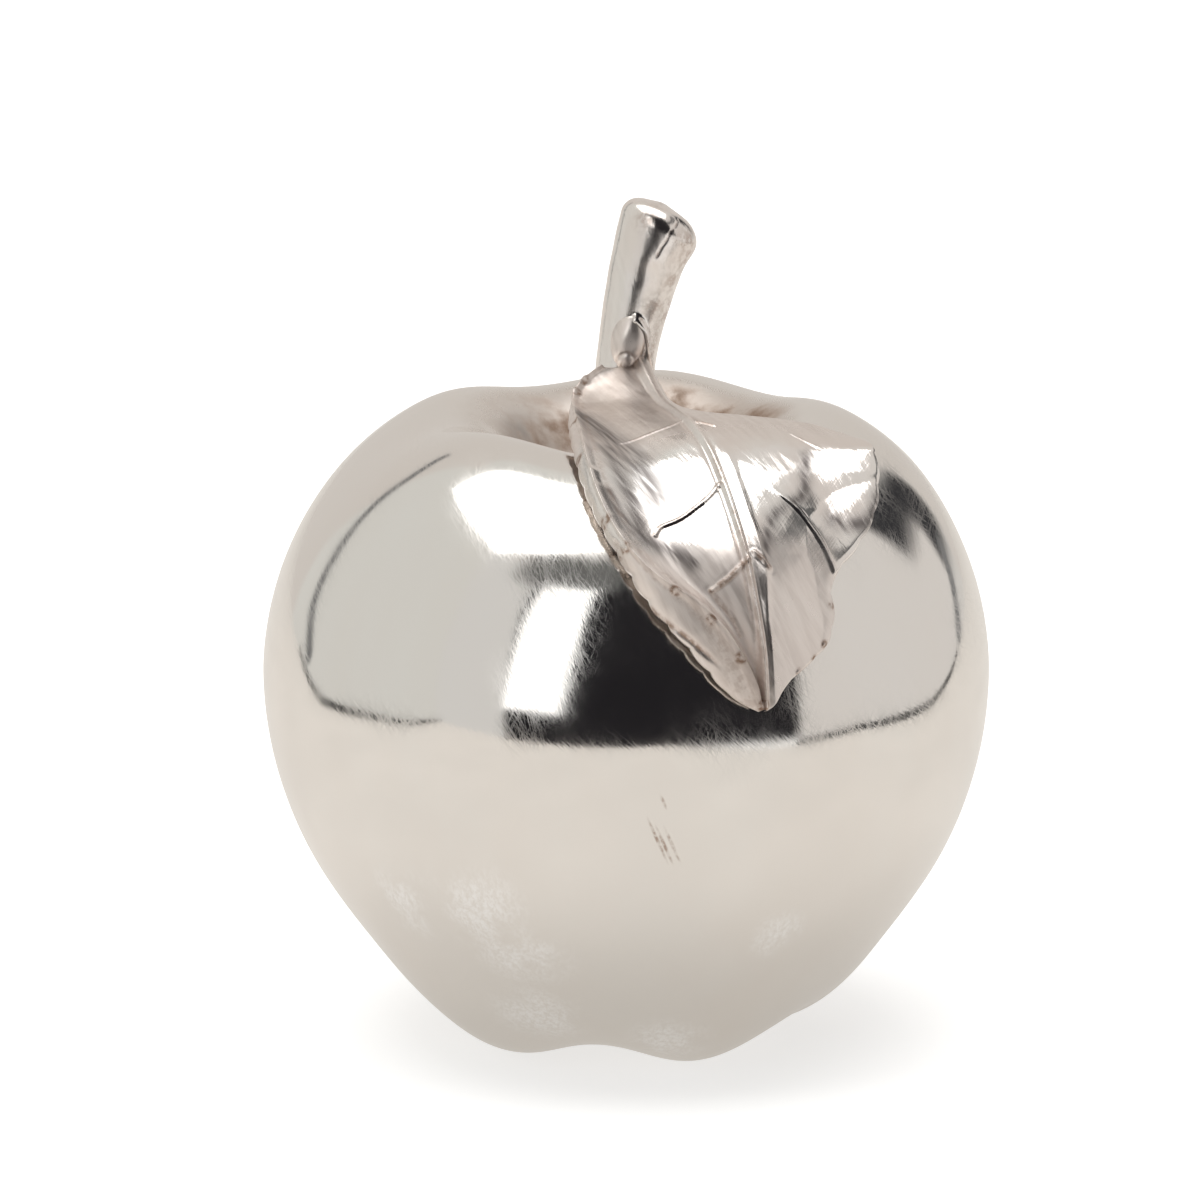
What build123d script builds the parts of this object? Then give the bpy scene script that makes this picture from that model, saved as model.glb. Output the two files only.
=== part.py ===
from build123d import *
import os
from math import cos, degrees, radians

# Polished silver apple ornament, in millimetres.
# The origin is on the table under the middle of the body. +Z is up and the leaf hangs towards -Y.
# The body is two pressed half shells soldered at the equator over a hidden locating band. The cast stem
# is bolted through the floor of the stem basin, and the bud and the leaf are soldered to the stem.

# ---- Driving dimensions ----
wall = 1.0
equator_radius = 43.5
equator_height = 44.0
basin_floor_height = 63.0
basin_floor_radius = 6.0
calyx_height = 7.0
calyx_flat_radius = 2.2

lobe_count = 5
front_lobe_angle = -84.0
sections_per_lobe = 6

stud_radius = 2.0
stud_clearance = 0.15
socket_depth = 10.0
nut_width = 7.0
nut_height = 3.2
washer_radius = 4.5
washer_thickness = 0.8
stud_below_nut = 1.5

band_height = 4.0
band_thickness = 0.8
band_clearance = 0.08
solder_gap = 0.04

vent_radius = 0.9
plug_head_radius = 1.9
plug_head_height = 0.5

cut_centre = (3.6, 0, 100.4)
cut_slope = 24.0
cut_edge_radius = 1.3

bud_length = 6.6
bud_radius = 2.1
bud_angle = -110.0
bud_from_stem_axis = 3.7
stem_axis_at_bud = Vector(0.45, 0, 84.8)

leaf_thickness = 0.9
# The leaf's curl is worked out from at least this radius and this outward lean, so it stays flat at the stem.
least_curl_radius = 10.0
least_outward_lean = 0.2

# Body outline points: radius, height, then how far a lobe pushes the point outwards and upwards.
# The same amounts are taken off in the valley between two lobes.
upper_outline = [
    (basin_floor_radius, basin_floor_height, 0.0, 0.0),
    (8.3, 64.6, 0.1, 0.1),
    (15.5, 73.0, 0.4, 0.6),
    (21.5, 75.2, 0.5, 0.7),
    (28.6, 72.8, 0.5, 0.5),
    (34.2, 68.3, 0.4, 0.3),
    (39.2, 61.2, 0.2, 0.1),
    (42.4, 52.7, 0.1, 0.0),
    (equator_radius, equator_height, 0.0, 0.0),
]
lower_outline = [
    (equator_radius, equator_height, 0.0, 0.0),
    (41.6, 31.0, 0.1, 0.0),
    (37.7, 21.6, 0.2, 0.0),
    (31.5, 12.3, 0.4, 0.0),
    (25.8, 5.4, 0.7, -0.3),
    (20.5, 1.9, 0.8, -0.9),
    (15.0, 0.95, 0.5, -1.1),
    (9.5, 3.4, 0.2, -0.8),
    (5.0, 6.2, 0.0, -0.2),
    (calyx_flat_radius, calyx_height, 0.0, 0.0),
]

# Stem: centre line points in the XZ plane, and the radius at even steps along that line.
stem_line_points = [
    (-1.2, 0, basin_floor_height),
    (-0.55, 0, 73.0),
    (0.2, 0, 82.9),
    (2.1, 0, 92.4),
    (4.9, 0, 104.0),
]
stem_radii = [4.2, 3.75, 3.5, 3.5, 3.95, 4.45, 4.8]

# Leaf: points on the crest of its midrib as distance from the axis towards -Y and height.
midrib_points = [
    (2.4, 82.4),
    (12.0, 79.0),
    (21.5, 77.5),
    (31.2, 73.6),
    (38.8, 65.9),
    (42.9, 57.0),
    (44.9, 49.6),
]
# Distance along the midrib, then the width to the left and to the right of it, seen from the front.
leaf_widths = [
    (0.3, 6.0, 1.4),
    (9.7, 10.8, 2.2),
    (15.7, 12.8, 8.5),
    (21.2, 14.4, 19.5),
    (27.7, 15.2, 21.8),
    (34.7, 15.3, 19.2),
    (41.7, 13.8, 13.8),
    (48.7, 9.0, 10.3),
    (54.2, 5.0, 5.6),
    (58.0, 1.4, 1.4),
]


# ---- Body shells ----
def radial_plane(angle):
    """A plane through the axis of the body: its x runs outwards at this angle and its y is up."""
    outwards = Vector(1, 0, 0).rotate(Axis.Z, angle)
    return Plane(origin=(0, 0, 0), x_dir=outwards, z_dir=outwards.cross(Vector(0, 0, 1)))


def lobed(outline, angle):
    """The outline's points in the radial plane at this angle."""
    swell = cos(radians(lobe_count * (angle - front_lobe_angle)))
    return [(radius + swell * out, height + swell * up) for radius, height, out, up in outline]


def inside_wall(curve, point):
    """The point one wall thickness to the right of the curve's direction of travel."""
    direction = curve.tangent_at(curve.param_at_point(point))
    return Vector(*point) + Vector(direction.Y, -direction.X) * wall


def wall_sector(outline, flat_end, flat_radius, start_direction, end_direction):
    """One lobe of a half shell, from valley to valley: a loft through sections of the wall.

    The flat floor near the axis is at the start or the end of the outline, as flat_end says.
    """
    lobe_width = 360 / lobe_count
    with BuildPart() as sector:
        for step in range(sections_per_lobe + 1):
            angle = front_lobe_angle - lobe_width / 2 + step * lobe_width / sections_per_lobe
            points = lobed(outline, angle)
            with BuildSketch(radial_plane(angle)):
                with BuildLine():
                    outer = Spline(*points, tangents=(start_direction, end_direction))
                    inner_points = [inside_wall(outer, point) for point in points]
                    inner = Spline(*inner_points, tangents=(start_direction, end_direction))
                    outer_floor = Line(outer @ flat_end, (flat_radius, (outer @ flat_end).Y))
                    inner_floor = Line(inner @ flat_end, (flat_radius, (inner @ flat_end).Y))
                    Line(outer_floor @ 1, inner_floor @ 1)
                    Line(outer @ (1 - flat_end), inner @ (1 - flat_end))
                make_face()
        loft()
    return sector.part


# Both flats start inside the holes that are cut through them next.
flat_start_radius = 0.5
upper_sector = wall_sector(upper_outline, 0, flat_start_radius, (1, 0), (0, -1))
lower_sector = wall_sector(lower_outline, 1, flat_start_radius, (0, -1), (-1, 0))

with BuildPart() as upper_shell:
    with PolarLocations(0, lobe_count):
        add(upper_sector)
    with Locations((0, 0, basin_floor_height)):
        Hole(stud_radius + stud_clearance, depth=2 * wall)

# The lobes' tips are ground flat where the body stands on the table.
with BuildPart() as lower_shell:
    with PolarLocations(0, lobe_count):
        add(lower_sector)
    with Locations((0, 0, calyx_height + wall)):
        Hole(vent_radius, depth=2 * wall)
    split(bisect_by=Plane.XY, keep=Keep.TOP)

# ---- Hidden fittings of the body ----
band_radius = equator_radius - wall - band_clearance
with BuildPart() as seam_band:
    with BuildSketch(Plane.XY.offset(equator_height - band_height / 2)):
        Circle(band_radius)
        Circle(band_radius - band_thickness, mode=Mode.SUBTRACT)
    extrude(amount=band_height)

with BuildPart() as vent_plug:
    with BuildSketch(Plane.XY.offset(calyx_height)):
        Circle(vent_radius)
    extrude(amount=wall)
    with BuildSketch(Plane.XY.offset(calyx_height)):
        Circle(plug_head_radius)
    extrude(amount=-plug_head_height)
    fillet(vent_plug.faces().sort_by(Axis.Z)[0].edges(), plug_head_height * 0.8)

# ---- Stem and its fastening ----
with BuildLine():
    stem_line = Spline(*stem_line_points)

# The end of the stem is cut on a slant that falls towards +X, and its rim is rounded.
cut_plane = Plane(origin=cut_centre).rotated((0, cut_slope, 0))
with BuildPart() as stem:
    for step, radius in enumerate(stem_radii):
        place = step / (len(stem_radii) - 1)
        direction = stem_line % place if step else Vector(0, 0, 1)
        with BuildSketch(Plane(origin=stem_line @ place, x_dir=(0, 1, 0), z_dir=direction)):
            Circle(radius)
    loft()
    split(bisect_by=cut_plane, keep=Keep.BOTTOM)
    fillet(stem.faces().sort_by(Axis.Z)[-1].edges(), cut_edge_radius)
    with BuildSketch(Plane.XY.offset(basin_floor_height)):
        Circle(stud_radius)
    extrude(amount=socket_depth, mode=Mode.SUBTRACT)

washer_top = basin_floor_height - wall
nut_top = washer_top - washer_thickness
stud_bottom = nut_top - nut_height - stud_below_nut
stud_top = basin_floor_height + socket_depth - solder_gap

with BuildPart() as basin_washer:
    with BuildSketch(Plane.XY.offset(washer_top)):
        Circle(washer_radius)
        Circle(stud_radius + stud_clearance, mode=Mode.SUBTRACT)
    extrude(amount=-washer_thickness)

with BuildPart() as stem_nut:
    with BuildSketch(Plane.XY.offset(nut_top)):
        RegularPolygon(nut_width / 2, 6, major_radius=False)
        Circle(stud_radius, mode=Mode.SUBTRACT)
    extrude(amount=-nut_height)

with BuildPart() as stem_stud:
    with BuildSketch(Plane.XY.offset(stud_bottom)):
        Circle(stud_radius)
    extrude(amount=stud_top - stud_bottom)

# ---- Bud on the front of the stem ----
bud_outwards = Vector(1, 0, 0).rotate(Axis.Z, bud_angle)
bud_centre = stem_axis_at_bud + bud_outwards * bud_from_stem_axis
bud_plane = Plane(origin=bud_centre, x_dir=bud_outwards, z_dir=bud_outwards.cross(Vector(0, 0, 1)))
with BuildPart() as leaf_bud:
    with BuildSketch(bud_plane) as bud_profile:
        with BuildLine():
            side = Spline(
                (0, -bud_length / 2),
                (bud_radius, -0.05 * bud_length),
                (0, bud_length / 2),
                tangents=((1.2, 1), (-0.7, 1)),
            )
            Line(side @ 0, side @ 1)
        make_face()
    # Two half turns leave a seam line on each side, which the surface needs once the stem is cut away.
    for half_turn in (180, -180):
        revolve(bud_profile.sketch, axis=Axis(bud_centre, (0, 0, 1)), revolution_arc=half_turn, clean=False)
    add(stem.part, mode=Mode.SUBTRACT, clean=False)

# ---- Leaf ----
with BuildLine():
    midrib = Spline(*[(0, -outwards, height) for outwards, height in midrib_points])


def leaf_plane(distance):
    """A plane square to the midrib: its x is across the leaf and its y is out of the leaf's face."""
    centre = midrib.position_at(distance, position_mode=PositionMode.LENGTH)
    direction = midrib.tangent_at(distance, position_mode=PositionMode.LENGTH)
    return Plane(origin=centre, x_dir=(1, 0, 0), z_dir=direction)


def across_leaf(curl_radius, width, depth):
    """A point of a leaf section, this far from the midrib around the curl and this far below the face."""
    turned = Vector(0, curl_radius - depth).rotate(Axis.Z, -degrees(width / curl_radius))
    return turned - Vector(0, curl_radius)


with BuildPart() as leaf:
    for distance, left, right in leaf_widths:
        plane = leaf_plane(distance)
        middle = (right - left) / 2
        # The leaf curls as the body does below it: flat over the basin and round on the shoulder.
        curl_radius = max(-plane.origin.Y, least_curl_radius) / max(-plane.y_dir.Y, least_outward_lean)
        with BuildSketch(plane):
            with BuildLine():
                face_points = [across_leaf(curl_radius, w, 0) for w in (-left, middle, right)]
                back_points = [across_leaf(curl_radius, w, leaf_thickness) for w in (-left, middle, right)]
                face = ThreePointArc(*face_points)
                back = ThreePointArc(*back_points)
                Line(face @ 0, back @ 0)
                Line(face @ 1, back @ 1)
            make_face()
    loft()
    add(stem.part, mode=Mode.SUBTRACT)
    add(leaf_bud.part, mode=Mode.SUBTRACT)

# ---- Written parts ----
pieces = {
    "upper_shell": upper_shell,
    "lower_shell": lower_shell,
    "seam_band": seam_band,
    "vent_plug": vent_plug,
    "stem": stem,
    "stem_stud": stem_stud,
    "basin_washer": basin_washer,
    "stem_nut": stem_nut,
    "leaf_bud": leaf_bud,
    "leaf": leaf,
}
os.makedirs("parts", exist_ok=True)
for name, piece in pieces.items():
    piece.part.label = name
    export_step(piece.part, f"parts/{name}.step")
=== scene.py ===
import math

import bpy
import numpy as np
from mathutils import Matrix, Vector


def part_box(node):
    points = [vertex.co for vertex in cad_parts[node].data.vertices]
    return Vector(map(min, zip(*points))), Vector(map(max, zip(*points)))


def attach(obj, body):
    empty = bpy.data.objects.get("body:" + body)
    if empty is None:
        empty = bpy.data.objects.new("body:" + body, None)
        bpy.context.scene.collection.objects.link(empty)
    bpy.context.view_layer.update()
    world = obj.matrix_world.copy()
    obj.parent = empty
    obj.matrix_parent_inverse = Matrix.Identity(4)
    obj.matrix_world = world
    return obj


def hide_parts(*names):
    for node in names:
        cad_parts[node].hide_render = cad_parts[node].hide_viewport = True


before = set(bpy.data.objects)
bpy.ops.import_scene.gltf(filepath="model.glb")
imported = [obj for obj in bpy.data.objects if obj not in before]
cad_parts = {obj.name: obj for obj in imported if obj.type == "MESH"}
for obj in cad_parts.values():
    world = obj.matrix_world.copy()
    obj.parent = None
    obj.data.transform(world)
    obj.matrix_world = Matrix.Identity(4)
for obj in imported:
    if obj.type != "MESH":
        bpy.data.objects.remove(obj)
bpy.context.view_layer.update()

# ---- Sizes ----
# Every length is in the object's millimetres, and MM turns one into scene metres. MM comes from the CAD
# body: its equator is 43.5 of these units from the axis.
EQUATOR_RADIUS = 43.5
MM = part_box("upper_shell")[1].x / EQUATOR_RADIUS
EQUATOR_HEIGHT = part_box("upper_shell")[0].z / MM
BASIN_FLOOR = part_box("stem")[0].z / MM
WALL = 1.0
STUD_HOLE_RADIUS = 2.15
STUD_RADIUS = 2.0
SOCKET_DEPTH = 10.0
VENT_RADIUS = 0.9
LOBES = 5
FRONT_LOBE = math.radians(-84)

# Outline of the body: radius, height, and how far a lobe pushes the point outwards and upwards.
UPPER_OUTLINE = [
    (6, 63, 0, 0),
    (8.3, 64.6, 0.1, 0.1),
    (15.5, 73, 0.4, 0.6),
    (21.5, 75.2, 0.5, 0.7),
    (28.6, 72.8, 0.5, 0.5),
    (34.2, 68.3, 0.4, 0.3),
    (39.2, 61.2, 0.2, 0.1),
    (42.4, 52.7, 0.1, 0),
    (43.5, 44, 0, 0),
]
LOWER_OUTLINE = [
    (43.5, 44, 0, 0),
    (41.6, 31, 0.1, 0),
    (37.7, 21.6, 0.2, 0),
    (31.5, 12.3, 0.4, 0),
    (25.8, 5.4, 0.7, -0.3),
    (20.5, 1.9, 0.8, -0.9),
    (15, 0.95, 0.5, -1.1),
    (9.5, 3.4, 0.2, -0.8),
    (5, 6.2, 0, -0.2),
    (2.2, 7, 0, 0),
]

# Stem: centre line (x, z), and (height above the basin floor as a share of the stem, radius).
STEM_LINE = [(-1.2, 63), (-0.55, 73), (0.2, 82.9), (2.1, 92.4), (4.2, 100.2)]
STEM_RADII = [(0, 4.2), (0.27, 3.65), (0.53, 3.5), (0.68, 3.9), (0.8, 4.25), (0.9, 4.5), (1, 4.5)]
STEM_END_SLOPE = math.radians(12)

# Leaf: the crest of its midrib as (distance from the body's axis towards -Y, height).
MIDRIB = [(2.4, 82.4), (12, 79), (21.5, 77.5), (31.2, 73.6), (38.8, 65.9), (42.9, 57), (44.9, 49.6)]
# Lines on the leaf as (distance along the midrib, distance across it): + is to the right seen from the front.
MIDRIB_LINE = [(0.8, 0.6), (11, 0), (30, 0), (46, 0), (53, 0.3), (58.7, 0.4)]
LEFT_CREST = [(2, -4.6), (4.6, -8.2), (11, -11), (19.5, -13.2), (25.8, -14.4), (32.4, -14.6),
              (38.9, -13), (42.9, -10.4), (46, -6.9), (49.4, -4.1), (52.8, -2.1), (55.7, -0.8),
              (58.7, 0.1)]
LEFT_EDGE = [(2, -5.2), (2.9, -7.6), (5.6, -9.6), (9.8, -11.5), (18, -14.1), (23.7, -15.3),
             (29.2, -15.8), (34.4, -15.4), (40.9, -13.8), (45.2, -12.1), (50.7, -8.5), (54.5, -5.7),
             (57.6, -2.6), (58.9, -0.3)]
RIGHT_EDGE = [(0.8, 1.6), (6, 1.5), (11.6, 1.4), (15.4, 3.2), (17.2, 7.3), (18.5, 13.5), (20.3, 18.4),
              (23.5, 20.8), (28.4, 20.9), (33.1, 19.8), (38, 17.2), (42, 13.6), (44.6, 11.4),
              (48.3, 11), (51, 10.1), (54.5, 5.9), (57, 2.6), (58.6, 1.2), (58.9, 0.4)]
LEAF_THICKNESS = 0.8


# ---- Curves and grids ----
def cubic_through(points, count, start=None, end=None):
    """count points of a smooth cubic curve through points, with given end directions if any."""
    p = np.array(points, float)
    gap = np.linalg.norm(np.diff(p[:, :2], axis=0), axis=1)
    knot = np.concatenate([[0], np.cumsum(gap)])
    n = len(p)
    system = np.zeros((n, n))
    right = np.zeros((n, p.shape[1]))
    for i in range(1, n - 1):
        system[i, i - 1:i + 2] = gap[i], 2 * (gap[i - 1] + gap[i]), gap[i - 1]
        right[i] = 3 * (gap[i - 1] * (p[i + 1] - p[i]) / gap[i] + gap[i] * (p[i] - p[i - 1]) / gap[i - 1])
    for row, near, direction in ((0, 1, start), (n - 1, n - 2, end)):
        system[row, row] = 1
        if direction is None:
            system[row, row] = 2
            system[row, near] = 1
            step = abs(knot[near] - knot[row])
            right[row] = 3 * (p[near] - p[row]) / step * (1 if row == 0 else -1)
        else:
            right[row, :len(direction)] = direction
    slope = np.linalg.solve(system, right)
    t = np.linspace(0, knot[-1], count)
    i = np.clip(np.searchsorted(knot, t) - 1, 0, n - 2)
    h = gap[i][:, None]
    u = ((t - knot[i]) / gap[i])[:, None]
    return ((2 * u**3 - 3 * u**2 + 1) * p[i] + (u**3 - 2 * u**2 + u) * h * slope[i]
            + (3 * u**2 - 2 * u**3) * p[i + 1] + (u**3 - u**2) * h * slope[i + 1])


def even_line(points, count, start=None, end=None):
    """count points at even distances along the smooth curve through points."""
    fine = cubic_through(points, 40 * len(points), start, end)
    length = np.concatenate([[0], np.cumsum(np.linalg.norm(np.diff(fine[:, :2], axis=0), axis=1))])
    even = np.linspace(0, length[-1], count)
    return np.stack([np.interp(even, length, column) for column in fine.T], -1)


def ramp(value, low, high):
    """0 below low, 1 above high, and smooth in between."""
    t = np.clip((np.asarray(value, float) - low) / (high - low), 0, 1)
    return t * t * (3 - 2 * t)


def stretch(value, start, full, last, end):
    """0 outside start and end, 1 from full to last, and smooth in between."""
    return ramp(value, start, full) * ramp(end - value, 0, end - last)


def peak(value, width, power=2):
    """1 where value is 0, falling away smoothly past width."""
    return np.exp(-(value / width) ** power)


def unit(vectors):
    return vectors / np.maximum(np.linalg.norm(vectors, axis=-1, keepdims=True), 1e-12)


def ripple(points, size, seed):
    """Smooth uneven waves over points, about size across, between roughly -1 and 1."""
    draw = np.random.default_rng(seed)
    waves = 9
    direction = unit(draw.normal(size=(waves, 3)))
    turn = draw.uniform(0, 2 * math.pi, waves)
    stretch = draw.uniform(0.7, 1.5, waves)
    phase = (points @ direction.T) * (2 * math.pi / size) * stretch + turn
    return np.sin(phase).sum(-1) / waves * 1.6


def waves(points, kinds):
    """Uneven waves from (height, size, seed) for each kind of wave."""
    return sum(height * ripple(points, size, seed) for height, size, seed in kinds)


def distance_to_line(points, line):
    """Distance of each (a, b) point to a polyline, and how far along the polyline that is, 0 to 1."""
    p = points[..., None, :]
    a = line[:-1]
    step = line[1:] - a
    share = np.clip(((p - a) * step).sum(-1) / (step * step).sum(-1), 0, 1)
    gap = np.linalg.norm(p - (a + share[..., None] * step), axis=-1)
    best = gap.argmin(-1)
    along = (best + np.take_along_axis(share, best[..., None], -1)[..., 0]) / len(a)
    return np.take_along_axis(gap, best[..., None], -1)[..., 0], along


def line_gap(places, line, count=60):
    """Distance of each place from the smooth curve through line."""
    return distance_to_line(places, even_line(line, count))[0]


def grid_faces(rings, around):
    """Quads between closed rings of points that are numbered ring by ring."""
    i = np.arange(rings - 1)[:, None]
    j = np.arange(around)[None, :]
    k = (j + 1) % around
    quads = np.stack([i * around + j, i * around + k, (i + 1) * around + k, (i + 1) * around + j], -1)
    return quads.reshape(-1, 4)


def place(name, data):
    """A new object in the scene."""
    thing = bpy.data.objects.new(name, data)
    bpy.context.scene.collection.objects.link(thing)
    return thing


def plain_mesh(name, points, faces):
    """A mesh object from points in scene metres."""
    mesh = bpy.data.meshes.new(name)
    mesh.from_pydata(points, [], faces)
    return place(name, mesh)


def make_mesh(name, points, faces, marks, normals=None):
    """A smooth piece from points in object millimetres. marks are named values for each point."""
    piece = plain_mesh(name, (points * MM).tolist(), [tuple(face) for face in faces])
    mesh = piece.data
    mesh.validate()
    mesh.shade_smooth()
    for key, values in marks.items():
        layer = mesh.attributes.new(key, "FLOAT", "POINT")
        layer.data.foreach_set("value", np.asarray(values, np.float32).ravel())
    if normals is not None:
        mesh.normals_split_custom_set_from_vertices(normals.tolist())
    return piece


def finish_piece(piece, material, node):
    """Gives the piece its material and puts it in the place of a CAD node."""
    piece.data.materials.append(material)
    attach(piece, "root")
    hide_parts(node)


# ---- Body ----
# Two half shells are cut from one smooth surface, so that no seam shows between them.
AROUND = 480
UPPER_RINGS = 150
LOWER_RINGS = 150
FLAT_RINGS = 5
# Slow waves that hand polishing leaves in the sheet, as (height, size, seed).
BODY_WAVES = [(0.035, 26, 3), (0.012, 9, 4)]


def flat_rings(first, last, height):
    """Outline rows of a flat ring between two radii."""
    rows = np.zeros((FLAT_RINGS + 1, 4))
    rows[:, 0] = np.linspace(first, last, FLAT_RINGS + 1)
    rows[:, 1] = height
    return rows


def body_surface():
    """Points and outward normals of the whole outside: rings from the stud hole down to the vent hole."""
    upper = even_line(UPPER_OUTLINE, UPPER_RINGS, (1, 0), (0, -1))
    lower = even_line(LOWER_OUTLINE, LOWER_RINGS, (0, -1), (-1, 0))
    basin = flat_rings(STUD_HOLE_RADIUS, *upper[0, :2])
    calyx = flat_rings(lower[-1, 0], VENT_RADIUS, lower[-1, 1])
    outline = np.vstack([basin[:-1], upper, lower[1:], calyx[1:]])
    angle = np.linspace(0, 2 * math.pi, AROUND, endpoint=False)
    swell = np.cos(LOBES * (angle - FRONT_LOBE))[None, :]
    radius = outline[:, 0:1] + swell * outline[:, 2:3]
    height = outline[:, 1:2] + swell * outline[:, 3:4]
    points = np.stack([radius * np.cos(angle), radius * np.sin(angle), height * np.ones(AROUND)], -1)
    normals = surface_normals(points)
    # The waves fade out in the two hollows, and the feet are ground flat.
    fade = ramp(outline[:, 0], 6, 14)[:, None]
    points = points + normals * (fade * waves(points, BODY_WAVES))[..., None]
    points[..., 2] = np.maximum(points[..., 2], 0)
    return points, surface_normals(points)


def surface_normals(points):
    """Outward normals of a ring grid, from its neighbours along and around."""
    down = np.gradient(points, axis=0)
    around = np.roll(points, -1, axis=1) - np.roll(points, 1, axis=1)
    return unit(np.cross(around, down)) * -1


def half_shell(name, node, points, normals, tarnish, material):
    """A closed shell under a band of the body's rings, which run down its outside and back up its inside."""
    rings = np.concatenate([points, (points - normals * WALL)[::-1]])
    faces = grid_faces(len(rings) + 1, AROUND)[:, ::-1] % (len(rings) * AROUND)
    marks = {"tarnish": np.concatenate([tarnish, tarnish[::-1]])}
    normals = np.concatenate([normals, -normals[::-1]]).reshape(-1, 3)
    piece = make_mesh(name, rings.reshape(-1, 3), faces, marks, normals)
    finish_piece(piece, material, node)


# ---- Stem and bud ----
STEM_AROUND = 216
STEM_RINGS = 110
CAP_RINGS = 24
STEM_LAST_SHARE = 0.93
CAP_RISE = 3.2
STEM_LEAN = 1.1
LIP_WIDTH = 0.75
FLUTE_DEPTH = 0.022
STEM_WAVES = [(0.05, 6, 11), (0.02, 2.4, 12)]
# Brown stains on the stem: (direction seen from above in degrees, height, radius).
STEM_STAINS = [(-131, 99.6, 1.2), (-58, 96.6, 1.8), (-80, 89.2, 1.6), (-60, 92, 1.5), (-66, 84, 1.8),
               (-42, 94.5, 2.2), (-45, 88, 2)]
# A fine flaw in the casting, as (direction, height).
STEM_FLAW = [(-78, 99.2), (-86, 98.5), (-93, 98), (-94, 97), (-98, 96.2), (-100, 95.1)]
FLAW_DEPTH = 0.07
# A stalk that runs from the bud's tip down the stem to the leaf, as (direction, height).
BUD_STALK = [(-108, 87.3), (-93, 86.2), (-77, 84.2), (-64, 82.2), (-52, 79.8)]
STALK_HEIGHT = 0.5
# Mean radius of the stem where these marks are, which turns their directions into distances.
STEM_SKIN = 4.3


def ring_solid(name, rings, marks):
    """A closed mesh from rings of points: each end is closed by a fan to its middle."""
    count, around = rings.shape[:2]
    middles = np.stack([rings[0].mean(0), rings[-1].mean(0)])
    points = np.vstack([rings.reshape(-1, 3), middles])
    faces = grid_faces(count, around).tolist()
    first, last = count * around, count * around + 1
    top = (count - 1) * around
    for j in range(around):
        k = (j + 1) % around
        faces.append((first, k, j))
        faces.append((last, top + j, top + k))
    marks = {key: np.append(values.ravel(), [0, 0]) for key, values in marks.items()}
    return make_mesh(name, points, faces, marks=marks)


def stem_frames(shares):
    """Centre, direction and outward x of the stem's line at shares of its length."""
    line = even_line(STEM_LINE, 200)
    at = shares * (len(line) - 1)
    index = np.arange(len(line))
    zero = np.zeros(len(at))
    centre = np.stack([np.interp(at, index, line[:, 0]), zero, np.interp(at, index, line[:, 1])], -1)
    slope = np.gradient(line[:, :2], axis=0)
    along = unit(np.stack([np.interp(at, index, slope[:, 0]), zero, np.interp(at, index, slope[:, 1])], -1))
    along[shares <= 0] = (0, 0, 1)
    side = np.stack([along[:, 2], zero, -along[:, 0]], -1)
    return centre, along, side


def stem_rings():
    """Rings of the stem from its blind socket, over the foot and up to the middle of its rounded end."""
    angle = np.linspace(0, 2 * math.pi, STEM_AROUND, endpoint=False)
    cos, sin = np.cos(angle)[:, None], np.sin(angle)[:, None]
    shares = np.linspace(0, STEM_LAST_SHARE, STEM_RINGS)
    centre, along, side = stem_frames(shares)
    heights, radii = np.array(STEM_RADII).T
    radius = np.interp(shares, heights, radii)
    radius = np.convolve(np.pad(radius, 6, mode="edge"), np.ones(13) / 13, "valid")
    y_axis = np.array([0, 1.0, 0])
    # The upper half leans a little to the front, and the end is slanted, with a lip on its low side.
    centre[:, 1] = -STEM_LEAN * ramp(shares, 0.35, 1.1)
    rings = []
    for share, r, c, up, out in zip(shares, radius, centre, along, side):
        lip = LIP_WIDTH * peak(share - STEM_LAST_SHARE, 0.06) * np.clip(cos, 0, 1) ** 2
        reach = r + lip + FLUTE_DEPTH * r * np.cos(3 * (angle - FRONT_LOBE))[:, None]
        slant = -math.tan(STEM_END_SLOPE) * ramp(share, 0.5, STEM_LAST_SHARE)
        rings.append(c + reach * (cos * out + sin * y_axis) + slant * reach * cos * up)
    last, top, up = rings[-1], centre[-1], along[-1]
    for k in range(1, CAP_RINGS):
        turn = k / CAP_RINGS * math.pi / 2
        dip = 0.25 * peak(turn - 1.25, 0.35)
        rings.append(top + (last - top) * math.cos(turn) + up * (CAP_RISE * math.sin(turn) - dip))
    socket = np.concatenate([STUD_RADIUS * cos, STUD_RADIUS * sin, BASIN_FLOOR + 0 * cos], -1)
    lifted = socket + np.array([0, 0, SOCKET_DEPTH])
    rings = np.array([lifted * (0.5, 0.5, 1), lifted, socket] + rings)
    outwards = unit(rings - rings.mean(1, keepdims=True))
    outside = (np.arange(len(rings)) > 2)[:, None, None]
    free = ramp(rings[..., 2:3], BASIN_FLOOR + 1, BASIN_FLOOR + 4) * outside
    flaw, stains, stalk = stem_marks(rings)
    lift = waves(rings, STEM_WAVES) - FLAW_DEPTH * flaw + STALK_HEIGHT * stalk
    return rings + outwards * lift[..., None] * free, np.maximum(0.7 * flaw, stains)


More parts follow.
